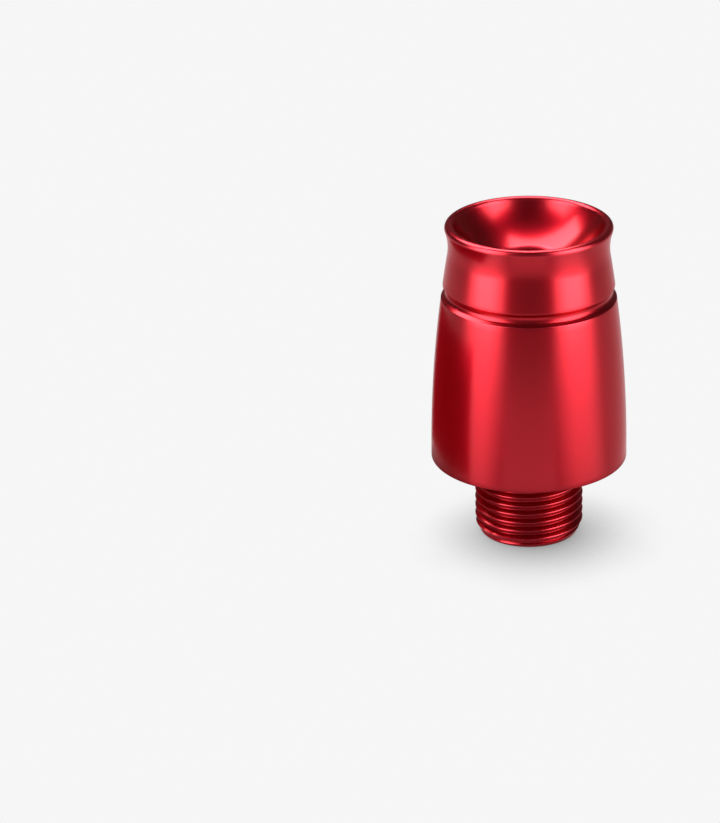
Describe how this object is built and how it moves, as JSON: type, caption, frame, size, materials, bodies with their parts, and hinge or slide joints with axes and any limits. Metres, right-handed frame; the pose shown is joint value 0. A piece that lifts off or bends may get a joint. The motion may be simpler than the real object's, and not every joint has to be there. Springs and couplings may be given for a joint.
{
  "type": "bar end weight",
  "caption": "Turned motorbike handlebar end weight with a long tapered side, a groove, a flared dished nose with a hex socket, and a threaded stub.",
  "frame": {"origin": "centre of the seat face, where the threaded stub leaves the weight", "axes": "+Z along the turning axis, from the seat face to the dished nose; the stub points along -Z and the part stands on its end"},
  "size_m": [0.0324, 0.0324, 0.0541],
  "materials": {
    "red_anodised": "satin turned aluminium with a deep red anodised colour"
  },
  "bodies": {
    "root": {"bar_end_weight": "red_anodised"}
  },
  "joints": []
}
